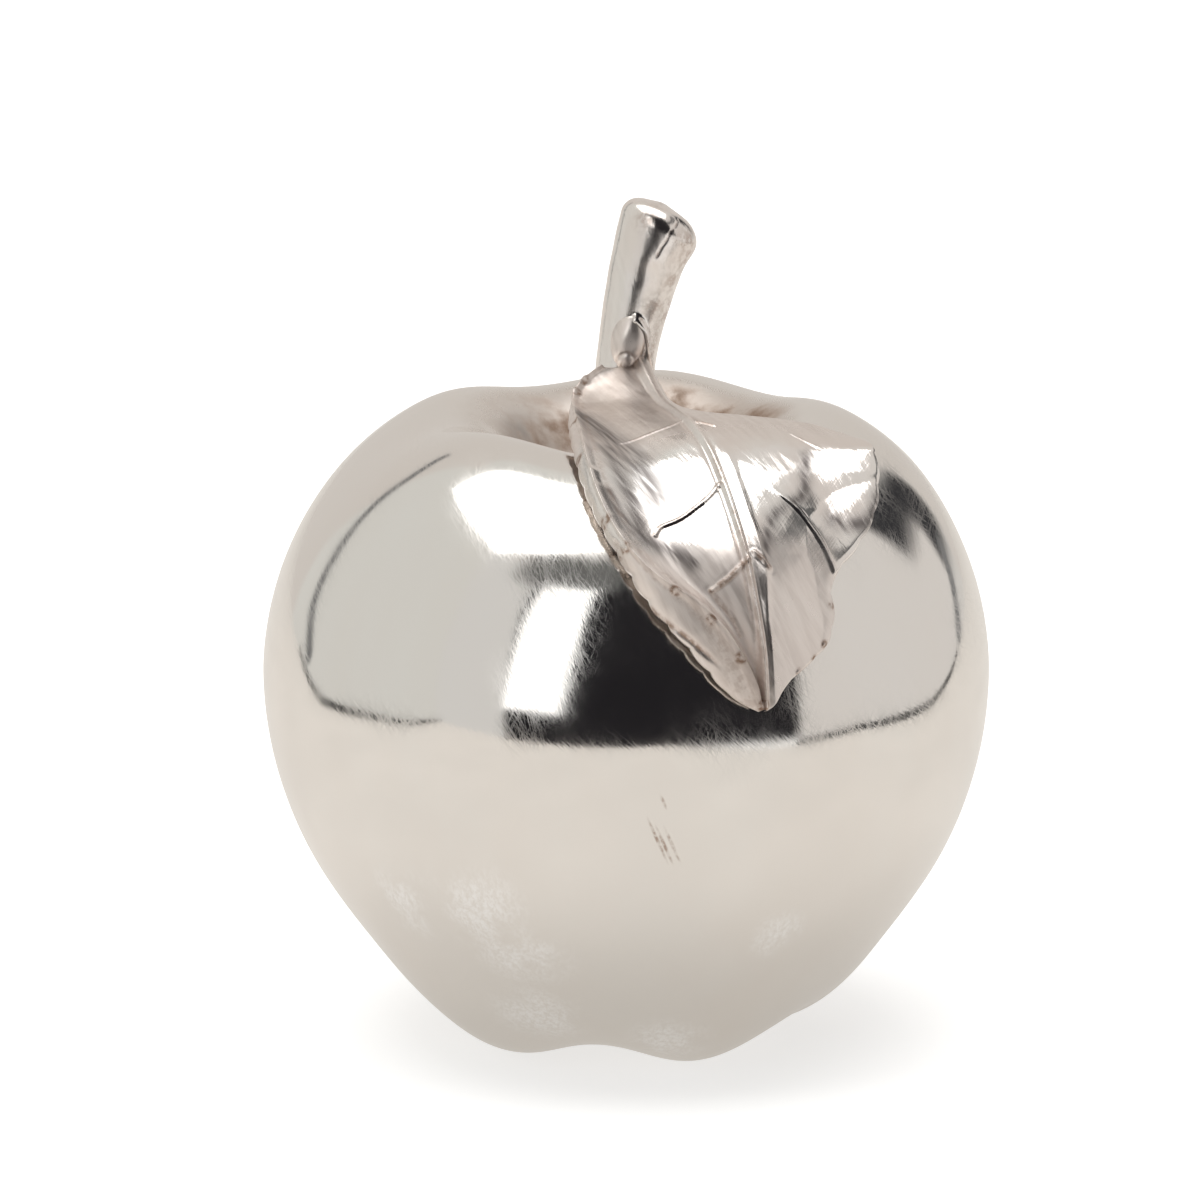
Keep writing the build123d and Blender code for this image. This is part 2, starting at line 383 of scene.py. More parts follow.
def stem_marks(rings):
    """How strongly the flaw, the stains and the bud's stalk show at each point of the stem."""
    middle = rings.mean(1)[:, None]
    around = np.arctan2(rings[..., 1] - middle[..., 1], rings[..., 0] - middle[..., 0]) + math.pi / 2
    places = np.stack([around * STEM_SKIN, rings[..., 2]], -1)
    flaw_line = np.array([(math.radians(a + 90) * STEM_SKIN, z) for a, z in STEM_FLAW])
    flaw = peak(distance_to_line(places, flaw_line)[0], 0.13)
    stalk_gap = line_gap(places, [(math.radians(a + 90) * STEM_SKIN, z) for a, z in BUD_STALK], 40)
    stalk = peak(stalk_gap, 0.55, 4)
    stains = 0.5 * peak(stalk_gap - 0.62, 0.16)
    for direction, z, size in STEM_STAINS:
        reach = np.hypot(places[..., 0] - math.radians(direction + 90) * STEM_SKIN, places[..., 1] - z)
        stains = np.maximum(stains, 0.55 * peak(reach, size))
    return flaw, stains, stalk


BUD_SHARE = 0.578
BUD_FACING = math.radians(-110)
BUD_HALF_LENGTH = 4.2
BUD_HALF_WIDTH = 2.35
BUD_SEAT = 2.0
BUD_RISE = 2.9
# Where the bud's rim, the groove inside it and the dark line in that lie, as shares of the way to its edge.
RIM_SHARE = 0.9
GROOVE_SHARE = 0.78
STAIN_SHARE = 0.79


def build_bud(material):
    """An almond-shaped bud on the stem's front: a smooth scale with a raised rim, and a core at its foot."""
    centre, along, _ = stem_frames(np.array([BUD_SHARE]))
    up = along[0]
    out = np.array([math.cos(BUD_FACING), math.sin(BUD_FACING), 0])
    out = unit(out - up * (out @ up))
    right = np.cross(up, out)
    rings, around = 60, 120
    angle = np.linspace(0, 2 * math.pi, around, endpoint=False)[None, :]
    share = np.linspace(1, 0.02, rings)[:, None]
    sharp = 1 - 0.16 * np.clip(np.sin(angle), 0, 1) ** 2 * np.abs(np.cos(angle))
    across = share * np.cos(angle) * BUD_HALF_WIDTH * sharp
    length = share * np.sin(angle) * BUD_HALF_LENGTH
    rise = BUD_RISE * np.clip(1 - share**2.6, 0, 1) ** 0.55
    rim_side = ramp(np.cos(angle - 0.4), -0.8, 0.5)
    rise = rise + (0.2 * peak(share - RIM_SHARE, 0.07) - 0.3 * peak(share - GROOVE_SHARE, 0.07)) * rim_side
    core = np.hypot((across + 0.1) / 0.9, (length + 2.9) / 1.1)
    rise = rise + 0.25 * peak(core, 1, 4) - 0.1 * peak(core - 1.25, 0.18)
    face = (centre[0] + up * length[..., None] + right * across[..., None]
            + out * (BUD_SEAT + rise)[..., None])
    foot = face[0] - out * 0.4
    tarnish = 0.6 * peak(share - STAIN_SHARE, 0.06) * rim_side
    tarnish = np.maximum(tarnish, 0.35 * peak(core - 1.25, 0.16))
    tarnish = np.vstack([np.full(around, 0.5), tarnish])
    rings = np.concatenate([foot[None], face])
    piece = ring_solid("bud", rings, {"tarnish": tarnish, "satin": np.full(tarnish.shape, 1.3)})
    finish_piece(piece, material, "leaf_bud")


# ---- Leaf ----
LEAF_ROWS = 340
CREST_SHARE = 0.68
LEFT_COLUMNS = 125
RIGHT_COLUMNS = 115
# Heights of lines above the CAD leaf's curve, as (distance along the midrib, height).
CREST_HEIGHT = [(0, 0.9), (8, 1.2), (15, 1.4), (25, 1.9), (32, 2.3), (39, 2.7), (45, 2.8), (50, 2.5),
                (54, 1.8), (57, 1.1), (59, 0.6)]
LEFT_EDGE_HEIGHT = [(0, 0), (25, 0.1), (32, 0.4), (38, 0.8), (46, 1.0), (52, 0.9), (57, 0.4), (59, 0.1)]
MIDRIB_HEIGHT = [(0, 0), (10, 0.2), (20, 1.1), (25, 1.2), (31, 0.8), (35, 0.7), (43, 1.5), (50, 1.7),
                 (55, 1.2), (59, 0.5)]
# The left half's hollow beside the crest, and its swelling towards the tip.
HOLLOW_DEPTH = 0.5
SWELL_HEIGHT = 0.9
# How steeply the right half falls, and the share of it that the rolled edge takes, along the midrib.
RIGHT_FALL = [(0, 0), (22, 0.02), (30, 0.04), (35, 0.08), (41, 0.19), (46, 0.22), (53, 0.22), (59, 0.15)]
ROLL_SHARE = [(20, 0.13), (24, 0.05), (38, 0.05), (42, 0.13)]
# The toothed bead on the crest: distance from crest to midrib and the bead's half width, along the midrib.
CREST_REACH = [(0, 8), (20, 13), (40, 11), (50, 4.5), (55, 2.2), (59, 1)]
BEAD_WIDTH = [(0, 0.45), (10, 0.6), (35, 0.6), (50, 0.36), (59, 0.2)]
BEAD_HEIGHT = 0.36
TOOTH_LENGTH = 3.7
# The midrib's half width and height along itself, and the channels beside it.
RIB_WIDTH = [(0, 0.9), (8, 0.65), (16, 0.45), (26, 0.34), (40, 0.28), (59, 0.25)]
RIB_HEIGHT = [(0, 1.1), (8, 0.7), (16, 0.45), (26, 0.3), (50, 0.3), (59, 0.15)]
CHANNEL_DEPTH = 0.14
# Raised veins as lines on the leaf, with their half width and height.
VEINS = [
    ([(31.3, -0.4), (33.1, -2.4), (34.3, -4.4), (35.3, -6.7), (35.9, -8.8), (36.9, -9.6)], 0.22, 0.15),
    ([(41.5, 0.2), (42.4, -0.9), (43.8, -2.9), (44.7, -4.6)], 0.24, 0.2),
    ([(44.7, -4.6), (46.2, -3.8), (47.7, -2.8), (50, -1.9)], 0.2, 0.1),
    ([(18.6, -0.6), (19.3, -1.9), (19.9, -4.2), (20.6, -8.8)], 0.18, 0.1),
    ([(19.4, 0.6), (20.4, 1.5), (21.3, 2.4)], 0.2, 0.16),
    ([(23.2, 11), (24.6, 12.2), (26, 13.5)], 0.16, 0.08),
    ([(40.8, 1), (41.6, 1.7), (42.8, 2.5)], 0.26, 0.22),
]
# Bands on the face with a painted dark reflection, streaked like brush work, as lines with their half widths.
DARK_REFLECTION_BANDS = [
    ([(13.3, -10.7), (17.7, -10.2), (20.9, -9.2), (24.4, -8.4), (28.1, -8.3), (31.5, -8.4)], 1.9),
    ([(22.2, -10.9), (26.7, -10.8), (31, -10.9), (34.5, -11), (37.1, -11.1), (38.7, -8.9),
      (41.1, -6.2)], 1.3),
    ([(30.3, -13.3), (33.4, -13), (36.7, -11.9)], 0.7),
    ([(41.3, 2.2), (39, 3.2), (37, 4.2), (34.8, 6.8), (33, 9.6), (29.2, 10.9), (27.2, 11.9)], 0.8),
    ([(36.4, 12.9), (37.2, 14.6), (36.4, 17.4), (33.5, 19.3)], 1.2),
]
# The groove along the folded edge, and the crease and the second ridge on the right half.
FOLD_GROOVE = [(37.5, -14.3), (43, -13.3), (46.2, -11.6), (49.2, -8.8), (53.6, -4.7)]
FOLD_GROOVE_DEPTH = 0.22
RIGHT_CREASE = [(31.6, 4.6), (33.2, 6.4), (35.2, 8.3), (37.6, 9.7), (40.4, 10.8), (43.2, 11.5)]
CREASE_HEIGHT = 0.22
CREASE_STEP = 0.06
SECOND_RIDGE = [(25, 1.9), (29, 1.8), (34, 1.7), (38.4, 1.9), (42.3, 2), (46.6, 1.5), (50.5, 0.9)]
SECOND_RIDGE_HEIGHT = 0.2
LOBE_VALLEY = 12.0
LOBE_SLOPE = 0.14
# Small cast grains in the crevices, as places on the leaf with their radius.
GRAINS = [(3.8, -7.4, 0.6), (5.9, -9, 0.55), (14.8, -12.4, 0.35), (23.5, -15, 0.3), (34.6, -14.9, 0.45),
          (38.8, -13.4, 0.4), (44.6, -9, 0.42), (48.2, -5.6, 0.4), (52.6, -2.6, 0.45), (58.2, 0.1, 0.5),
          (54.7, 4.8, 0.25), (53.4, 7.2, 0.2), (47.3, 10.4, 0.2), (51.8, 8.8, 0.25)]
# Length of one tooth of the edges, and the length of leaf that the teeth are spread over.
EDGE_TOOTH = 3.4
LEAF_LENGTH = 62
LEAF_WAVES = [(0.035, 5.5, 21), (0.012, 2.0, 22)]
LEAF_CLEARANCE = 0.18


def along_leaf(s, pairs):
    """The value at distance s along the midrib, from (distance, value) pairs."""
    return np.interp(s, *np.array(pairs, float).T)


def leaf_frames(s):
    """Crest points, outward normals and curl radii along the midrib, continued straight past its ends."""
    line = even_line(MIDRIB, 600)
    step = np.linalg.norm(line[1, :2] - line[0, :2])
    at = np.clip(s / step, 0, len(line) - 1)
    index = np.arange(len(line))
    slope = unit(np.gradient(line[:, :2], axis=0))
    run = np.interp(at, index, slope[:, 0])
    drop = np.interp(at, index, slope[:, 1])
    extra = s - at * step
    out = np.interp(at, index, line[:, 0]) + extra * run
    height = np.interp(at, index, line[:, 1]) + extra * drop
    crest = np.stack([np.zeros_like(s), -out, height], -1)
    normal = np.stack([np.zeros_like(s), drop, run], -1)
    curl = np.maximum(out, 10.0) / np.maximum(-drop, 0.2)
    return crest, normal, curl


def leaf_place(s, w, lift):
    """Points on the leaf at distances s along and w across, lifted off its curled carrier surface."""
    crest, normal, curl = leaf_frames(s)
    turn = w / curl
    x_axis = np.array([1.0, 0, 0])
    outward = normal * np.cos(turn)[..., None] + x_axis * np.sin(turn)[..., None]
    base = crest + x_axis * (curl * np.sin(turn))[..., None] - normal * (curl * (1 - np.cos(turn)))[..., None]
    return base + outward * lift[..., None]


def leaf_chart():
    """Places on the leaf: columns run from the left edge over its crest and the midrib to the right edge."""
    left = even_line(LEFT_EDGE, LEAF_ROWS)
    crest = even_line(LEFT_CREST, LEAF_ROWS)
    middle = even_line(MIDRIB_LINE, LEAF_ROWS)
    right = even_line(RIGHT_EDGE, LEAF_ROWS)
    far = np.linspace(1, 0, LEFT_COLUMNS + 1) ** 1.1
    near = np.linspace(0, 1, RIGHT_COLUMNS + 1)[1:] ** 1.15
    columns = []
    for share in far:
        if share > CREST_SHARE:
            columns.append(crest + (left - crest) * (share - CREST_SHARE) / (1 - CREST_SHARE))
        else:
            columns.append(middle + (crest - middle) * share / CREST_SHARE)
    for share in near:
        columns.append(middle + (right - middle) * share)
    return np.stack(columns, 1), np.concatenate([-far, near])


def smooth_height(s, pairs):
    """along_leaf without corners."""
    even = np.linspace(-3, LEAF_LENGTH, 400)
    soft = np.convolve(np.pad(along_leaf(even, pairs), 12, mode="edge"), np.ones(25) / 25, "valid")
    return np.interp(s, even, soft)


def left_half(s, across):
    """Height of the left half: it falls from the midrib, curls up to the crest and folds down to the edge."""
    blade = np.clip(-across / CREST_SHARE, 0, 1)
    fold = np.clip((-across - CREST_SHARE) / (1 - CREST_SHARE), 0, 1)
    crest = smooth_height(s, CREST_HEIGHT)
    edge = smooth_height(s, LEFT_EDGE_HEIGHT)
    ridge = smooth_height(s, MIDRIB_HEIGHT)
    hollow = HOLLOW_DEPTH * peak(blade - 0.66, 0.22) * stretch(s, 12, 22, 38, 50)
    swell = SWELL_HEIGHT * np.sin(math.pi * np.clip(blade / 0.75, 0, 1)) * stretch(s, 34, 43, 44, 54)
    fall = 1.12 * ridge * (1 - ramp(blade, -0.25, 0.72))
    climb = crest * np.clip((blade - 0.35) / 0.65, 0, 1) ** 2.2
    outer = edge + (crest - edge) * (1 - fold**1.5) ** 0.9
    return np.where(fold > 0, outer, fall + climb - hollow + swell)


def right_half(s, w, across):
    """Height of the right half: a slope off the midrib, a creased lobe that stands up, and a rolled edge."""
    right = np.clip(across, 0, 1)
    slope = smooth_height(s, MIDRIB_HEIGHT) - along_leaf(s, RIGHT_FALL) * np.clip(w - 1.4, 0, None)
    lift = np.clip(slope, 0, None) + 0.25 * np.sin(math.pi * right) * stretch(s, 18, 24, 32, 40)
    beyond = w - LOBE_VALLEY
    lift = lift + LOBE_SLOPE * ramp(s, 20, 27) * (beyond + np.sqrt(beyond**2 + 3))
    soft = along_leaf(s, ROLL_SHARE)
    roll = np.clip((right - 1 + soft) / soft, 0, 1)
    return (lift + 0.25) * np.sqrt(1 - 0.98 * roll**2.2) - 0.25


def leaf_relief(s, w, across):
    """Height of the leaf's face above its carrier, with marks for tarnished and satin places and for the
    bands of painted dark reflection.
    """
    places = np.stack([s, w], -1)
    left = across < 0
    blade = np.clip(-across / CREST_SHARE, 0, None)
    fold = np.clip((-across - CREST_SHARE) / (1 - CREST_SHARE), 0, 1)
    lift = np.where(left, left_half(s, across), right_half(s, w, across))

    # A rounded bead with soft teeth stands on the crest of the folded left edge.
    crest_gap = np.abs(blade - 1) * along_leaf(s, CREST_REACH)
    bead = along_leaf(s, BEAD_WIDTH)
    tooth = (s / TOOTH_LENGTH + 0.15 * np.sin(s * 0.9)) % 1
    teeth = 0.85 + 0.4 * (1 - tooth) * ramp(tooth, 0, 0.3)
    lift = lift + BEAD_HEIGHT * teeth * peak(crest_gap, bead, 2.5) * left * ramp(58.5 - s, 0, 3)
    crevice = peak(crest_gap - 1.9 * bead, 0.3) * left

    # The crease on the right half is a fine rib with a step down on its far side.
    crease_gap, crease_along = distance_to_line(places, even_line(RIGHT_CREASE, 60))
    past_crease = w - along_leaf(s, RIGHT_CREASE)
    step_down = stretch(past_crease, -0.2, 1.2, 0.5, 3.5) * stretch(s, 31, 35, 42, 46)
    lift = lift + CREASE_HEIGHT * ramp(crease_along, 0, 0.35) * peak(crease_gap, 0.28)
    lift = lift - CREASE_STEP * step_down

    # Midrib: a thick stalk at the foot that thins to a fine rib, with a second ridge beside it.
    rib_gap = np.abs(w - along_leaf(s, MIDRIB_LINE))
    rib = along_leaf(s, RIB_WIDTH)
    channel = peak(rib_gap - rib - 0.3, 0.3) * ramp(s, 14, 22)
    lift = lift + along_leaf(s, RIB_HEIGHT) * np.exp(-0.8 * (rib_gap / rib) ** 4) - CHANNEL_DEPTH * channel
    second = peak(line_gap(places, SECOND_RIDGE), 0.4) * stretch(s, 24, 30, 45, 51)
    groove = peak(line_gap(places, FOLD_GROOVE), 0.28) * stretch(s, 36, 40, 51, 54)
    lift = lift + SECOND_RIDGE_HEIGHT * second - FOLD_GROOVE_DEPTH * groove

    # Tarnish lies in the channels, the crevice, beside the veins and round the grains, and the same brown
    # darkens the groove along the folded edge.
    rib_stain = 0.6 * peak(rib_gap, 0.3) * ramp(s, 22, 30) * (1 - 0.5 * ramp(s, 40, 46))
    dull_foot = 0.1 * (1 - ramp(s, 18, 26))
    tarnish = np.maximum.reduce([0.25 * channel * ramp(s, 20, 30), 0.3 * crevice, rib_stain, dull_foot,
                                 0.9 * groove])
    for line, half_width, height in VEINS:
        gap = line_gap(places, line, 50)
        lift = lift + height * peak(gap, half_width, 2.6)
        lift = lift - 0.12 * height * peak(gap - 2.1 * half_width, 0.8 * half_width)
        tarnish = np.maximum(tarnish, 4.2 * height * peak(gap - 0.6 * half_width, 0.2))
    for grain_s, grain_w, radius in GRAINS:
        gap = np.hypot(s - grain_s, w - grain_w)
        lift = lift + 0.5 * radius * peak(gap, radius, 3)
        tarnish = np.maximum(tarnish, peak(gap - radius, 0.25))

    # The blade is polished past its foot, apart from the folded edge, its lower left and the right flap.
    flap = ramp(s, 36, 41) * (across > 0) * ramp(LOBE_VALLEY - w, -1, 1)
    rubbed = np.maximum(ramp(s, 37, 41) * left, flap)
    satin = 1 - ramp(s, 20, 27) * (1 - fold) * (1 - rubbed)
    satin = satin + (1.3 * (1 - fold) * ramp(s, 38, 43) + 0.8 * peak(crest_gap, 0.8)) * left
    # Painted dark reflection: bands on the face are darkened where they would mirror the dark opening of the
    # tent.
    dark_reflection = np.zeros(s.shape)
    for line, half_width in DARK_REFLECTION_BANDS:
        dark_reflection = np.maximum(dark_reflection, peak(line_gap(places, line, 40), half_width) * (blade < 1))
    return lift, {"tarnish": np.clip(tarnish, 0, 1), "satin": satin, "dark_reflection": dark_reflection}


def leaf_clearance(points, body_points):
    """How far each point is outside the body's surface, measured in the radial plane through it."""
    angle = np.arctan2(points[:, 1], points[:, 0]) % (2 * math.pi)
    column = np.round(angle / (2 * math.pi) * AROUND).astype(int) % AROUND
    sample = body_points[::3]
    radius = np.hypot(sample[..., 0], sample[..., 1])
    height = sample[..., 2]
    own_radius = np.hypot(points[:, 0], points[:, 1])
    gap = np.empty(len(points))
    # In parts, because all the distances at once would take too much memory.
    for start in range(0, len(points), 20000):
        part = slice(start, start + 20000)
        r = radius[:, column[part]]
        z = height[:, column[part]]
        away_r, away_z = own_radius[part] - r, points[part, 2] - z
        pick = ((away_r**2 + away_z**2).argmin(0), np.arange(r.shape[1]))
        run_r = np.gradient(r, axis=0)[pick]
        run_z = np.gradient(z, axis=0)[pick]
        gap[part] = (away_z[pick] * run_r - away_r[pick] * run_z) / (np.hypot(run_r, run_z) + 1e-9)
    return gap


def leaf_sheet(body_points):
    """The leaf's face and back as grids of points, with its marks. They meet along three of their sides."""
    chart, across = leaf_chart()
    rows, columns = chart.shape[:2]
    across = np.broadcast_to(across, (rows, columns))
    s, w = chart[..., 0], chart[..., 1]
    step = np.abs(np.sin(math.pi * np.arange(rows)[:, None] / rows * LEAF_LENGTH / EDGE_TOOTH)) ** 0.7
    deep = np.where(across < 0, 0.2 + 0.2 * ramp(s, 34, 40), 0.4)
    notch = deep * (1 - step) * np.abs(across) ** 14 * stretch(s, 1, 3, 54.5, 57.5)
    w = w - np.sign(across) * notch
    lift, marks = leaf_relief(s, w, across)
    lift = lift + waves(leaf_place(s, w, lift), LEAF_WAVES)

    lengthwise = np.linspace(0, 1, rows)[:, None]
    inside = np.clip(1 - np.abs(across) ** 26, 0, 1) * np.clip(1 - lengthwise**90, 0, 1)
    thick = LEAF_THICKNESS * np.sqrt(inside)
    lift = lift - 0.5 * (LEAF_THICKNESS - thick)
    gap = leaf_clearance(leaf_place(s, w, lift - thick).reshape(-1, 3), body_points).reshape(rows, columns)
    shortfall = LEAF_CLEARANCE - gap
    lift = lift + 0.5 * (shortfall + np.sqrt(shortfall**2 + 0.02)) * ramp(s, 2, 6)
    return leaf_place(s, w, lift), leaf_place(s, w, lift - thick), marks


def build_leaf(material, body_points):
    """A closed casting between the leaf's face and its back."""
    face, back, marks = leaf_sheet(body_points)
    rows, columns = face.shape[:2]
    number = np.arange(rows * columns).reshape(rows, columns)
    back_number = number + rows * columns
    for side in (np.s_[:, 0], np.s_[:, -1], np.s_[-1, :]):
        back_number[side] = number[side]
    faces = []
    for table, step in ((number, 1), (back_number, -1)):
        corners = [table[:-1, :-1], table[1:, :-1], table[1:, 1:], table[:-1, 1:]]
        faces += np.stack(corners[::step], -1).reshape(-1, 4).tolist()
    for j in range(columns - 1):
        faces.append((number[0, j], number[0, j + 1], back_number[0, j + 1], back_number[0, j]))
    points = np.vstack([face.reshape(-1, 3), back.reshape(-1, 3)])
    used = np.unique(np.concatenate([number.ravel(), back_number.ravel()]))
    renumber = np.full(2 * rows * columns, -1)
    renumber[used] = np.arange(len(used))
    faces = [tidy_face(renumber[list(corners)]) for corners in faces]
    faces = [corners for corners in faces if corners]
    marks = {key: np.tile(values.ravel(), 2)[used] for key, values in marks.items()}
    piece = make_mesh("leaf_casting", points[used], faces, marks=marks)
    finish_piece(piece, material, "leaf")


def tidy_face(corners):
    """The face without corners that fell together, or nothing if fewer than three are left."""
    kept = [int(c) for i, c in enumerate(corners) if c != corners[i - 1]]
    return kept if len(kept) > 2 else None


# ---- Materials ----
class Shader:
    """A node material with short calls for the nodes that the finishes share."""

    def __init__(self, name):
        self.material = bpy.data.materials.new(name)
        self.material.use_nodes = True
        self.tree = self.material.node_tree
        self.surface = self.tree.nodes["Principled BSDF"]
        self.place = self.add("TexCoord").outputs["Object"]

    def add(self, kind, inputs=(), **settings):
        """A new node with its inputs, as values or as other nodes' outputs, and its settings."""
        node = self.tree.nodes.new("ShaderNode" + kind)
        for key, value in settings.items():
            setattr(node, key, value)
        self.feed(node, inputs)
        return node

    def feed(self, node, inputs):
        for key, value in dict(inputs).items():
            if isinstance(value, bpy.types.NodeSocket):
                self.tree.links.new(value, node.inputs[key])
            else:
                node.inputs[key].default_value = value

    def math(self, operation, a, b=0.0, clamp=False):
        return self.add("Math", {0: a, 1: b}, operation=operation, use_clamp=clamp).outputs[0]

    def times(self, a, b, clamp=False):
        return self.math("MULTIPLY", a, b, clamp)

    def add_share(self, total, value, share, clamp=False):
        """total with a share of value added."""
        return self.math("ADD", total, self.times(value, share), clamp)

    def gather(self, operation, values, total=0.0):
        """One value from several, joined to total in turn by the operation."""
        for value in values:
            total = self.math(operation, total, value)
        return total

    def vector(self, operation, inputs):
        node = self.add("VectorMath", inputs, operation=operation)
        return node.outputs["Value" if operation in ("DOT_PRODUCT", "LENGTH") else "Vector"]

    def measured(self, sizes, turn, centre=(0, 0, 0)):
        """The place on the object from centre, along turned axes and in units of sizes in millimetres."""
        inputs = {"Vector": self.place, "Location": [c * MM for c in centre], "Rotation": turn,
                  "Scale": [size * MM for size in sizes]}
        return self.add("Mapping", inputs, vector_type="TEXTURE").outputs[0]

    def noise(self, size, detail=3.0, length=(1, 1, 1), turn=(0, 0, 0), rough=0.55):
        """Noise with grains size millimetres wide, length times as long along each of its turned axes."""
        place = self.measured([size * share for share in length], turn)
        inputs = {"Vector": place, "Scale": 1.0, "Detail": detail, "Roughness": rough}
        return self.add("TexNoise", inputs).outputs["Fac"]

    def blob(self, centre, radii, turn=(0, 0, 0)):
        """1 at a place on the object, falling to 0 at its edge. Both are in millimetres."""
        away = self.vector("LENGTH", {0: self.measured(radii, turn, centre)})
        return self.between(away, 0.2, 1.0, 1.0, 0.0)

    def between(self, value, low, high, to_low=0.0, to_high=1.0):
        """to_low below low, to_high above high, and smooth in between."""
        inputs = {"Value": value, "From Min": low, "From Max": high, "To Min": to_low, "To Max": to_high}
        return self.add("MapRange", inputs, interpolation_type="SMOOTHSTEP").outputs[0]

    def mix(self, share, a, b):
        a, b = (tone if isinstance(tone, bpy.types.NodeSocket) else (*tone, 1) for tone in (a, b))
        return self.add("Mix", {0: share, 6: a, 7: b}, data_type="RGBA").outputs[2]

    def layered(self, colour, *layers):
        """colour under layers, as (share, tone) pairs."""
        for share, tone in layers:
            colour = self.mix(share, colour, tone)
        return colour

    def attribute(self, name):
        return self.add("Attribute", attribute_name=name).outputs["Fac"]

    def bump(self, height, depth, normal=None):
        inputs = {"Strength": 1.0, "Distance": depth * MM, "Height": height}
        if normal is not None:
            inputs["Normal"] = normal
        return self.add("Bump", inputs).outputs[0]

    def finish(self, inputs):
        self.feed(self.surface, inputs)
        return self.material

    def metal(self, colour, rough, normal):
        return self.finish({"Base Color": colour, "Roughness": rough, "Metallic": 1.0, "Normal": normal})


SILVER = (0.93, 0.905, 0.875)
BODY_SILVER = (0.885, 0.862, 0.832)
WARM_SILVER = (0.87, 0.83, 0.79)
PINK_SILVER = (0.86, 0.78, 0.735)
TARNISH = (0.36, 0.25, 0.19)
BASIN_TARNISH = (0.45, 0.34, 0.27)
SATIN_SILVER = (0.87, 0.80, 0.755)
WORN_SILVER = (0.55, 0.48, 0.44)
# Colour of the painted dark reflection on the leaf's marked bands.
PAINTED_DARK_REFLECTION = (0.17, 0.15, 0.145)
SCUFFED_SILVER = (1.0, 1.0, 1.0)


def sheets(shader, axis, size, length, detail=2.0):
    """Noise that changes quickly along one axis only, so it draws long lines on a surface across it."""
    turn = Vector(axis).to_track_quat("X", "Z").to_euler()
    return shader.noise(size, detail, (1, length, length), turn)


def hairlines(shader, axes, size, length):
    """Fine polishing lines in several directions."""
    return shader.gather("ADD", (sheets(shader, axis, size, length) for axis in axes))


def scratches(shader, axes, size, length, rarity):
    """Separate thin scratches in several directions, 1 on a scratch."""
    lines = (sheets(shader, axis, size, length, 1.0) for axis in axes)
    return shader.gather("MAXIMUM", (shader.between(line, rarity, rarity + 0.07) for line in lines))


# Directions across the polishing lines.
POLISH_AXES = [(0.75, -0.25, 0.5), (0.9, -0.3, 0.2), (0.6, -0.2, 0.75), (0.8, -0.3, -0.35)]
# Where handling has dulled the body, as centres and radii.
SCUFFS = [((-27.8, -26.8, 23.6), 9), ((-33.8, -18.7, 22.9), 7), ((-22.5, -26.8, 18.3), 8),
          ((-18.8, -21.5, 8.4), 8), ((-4, -25, 5), 7), ((5, -35.5, 21), 5)]
# Short brown scratches on the front, as centres and half lengths.
STROKES = [((-11.1, -40.7, 34.2), 3.9), ((-10.3, -40.9, 33.5), 3.4), ((-9.4, -41.1, 33.5), 3.2),
           ((-10.8, -41.8, 39), 1.3)]
STROKE_TURN = (0, math.radians(-22), math.radians(-20))
# Depths of the bumps in the polished body and in the castings.
BODY_BUMP = 0.003
CAST_BUMP = 0.01
BROAD_BUMP = 0.022


def scuff_marks(shader):
    """Soft pale patches of fine crossing scratches."""
    patches = shader.gather("MAXIMUM", (shader.blob(centre, (size, size, size)) for centre, size in SCUFFS))
    cloud = shader.between(shader.noise(6), 0.3, 0.62)
    grain = shader.between(shader.noise(0.55, 5.0, (1, 1, 2.2), rough=0.75), 0.38, 0.62, 0.15, 1.0)
    return shader.times(shader.times(patches, cloud), grain)


def stroke_marks(shader):
    """The short brown scratches, broken up by a fine noise."""
    strokes = (shader.blob(centre, (0.3, 3.0, half), STROKE_TURN) for centre, half in STROKES)
    total = shader.gather("MAXIMUM", strokes)
    return shader.times(total, shader.between(shader.noise(0.9), 0.35, 0.6, 0.15, 0.8))


def body_silver():
    """Mirror-polished silver with hairline scratches, handling scuffs low down and tarnish in the basin."""
    shader = Shader("body_silver")
    normal = shader.bump(hairlines(shader, POLISH_AXES[:3], 0.22, 60), BODY_BUMP)
    normal = shader.bump(shader.noise(3.2, 2.0, (1, 1, 2.2)), BODY_BUMP, normal)
    lines = scratches(shader, POLISH_AXES, 0.14, 45, 0.55)
    lines = shader.times(lines, shader.between(shader.noise(9), 0.3, 0.7, 0.1, 1.0))
    scuffs = scuff_marks(shader)
    patchy = shader.between(shader.noise(4.5, 5.0), 0.34, 0.62, 0.55, 1.0)
    basin = shader.times(shader.attribute("tarnish"), patchy)

    warm = shader.between(shader.noise(16, 3.0, (1, 1, 2.5)), 0.35, 0.7, 0.0, 0.5)
    colour = shader.layered(BODY_SILVER, (warm, WARM_SILVER), (basin, BASIN_TARNISH),
                            (stroke_marks(shader), TARNISH), (scuffs, SCUFFED_SILVER))
    rough = shader.between(shader.noise(7), 0.3, 0.75, 0.05, 0.095)
    rough = shader.add_share(rough, lines, 0.13)
    rough = shader.add_share(rough, basin, 0.7)
    rough = shader.add_share(rough, scuffs, 0.08, clamp=True)
    return shader.metal(colour, rough, normal)


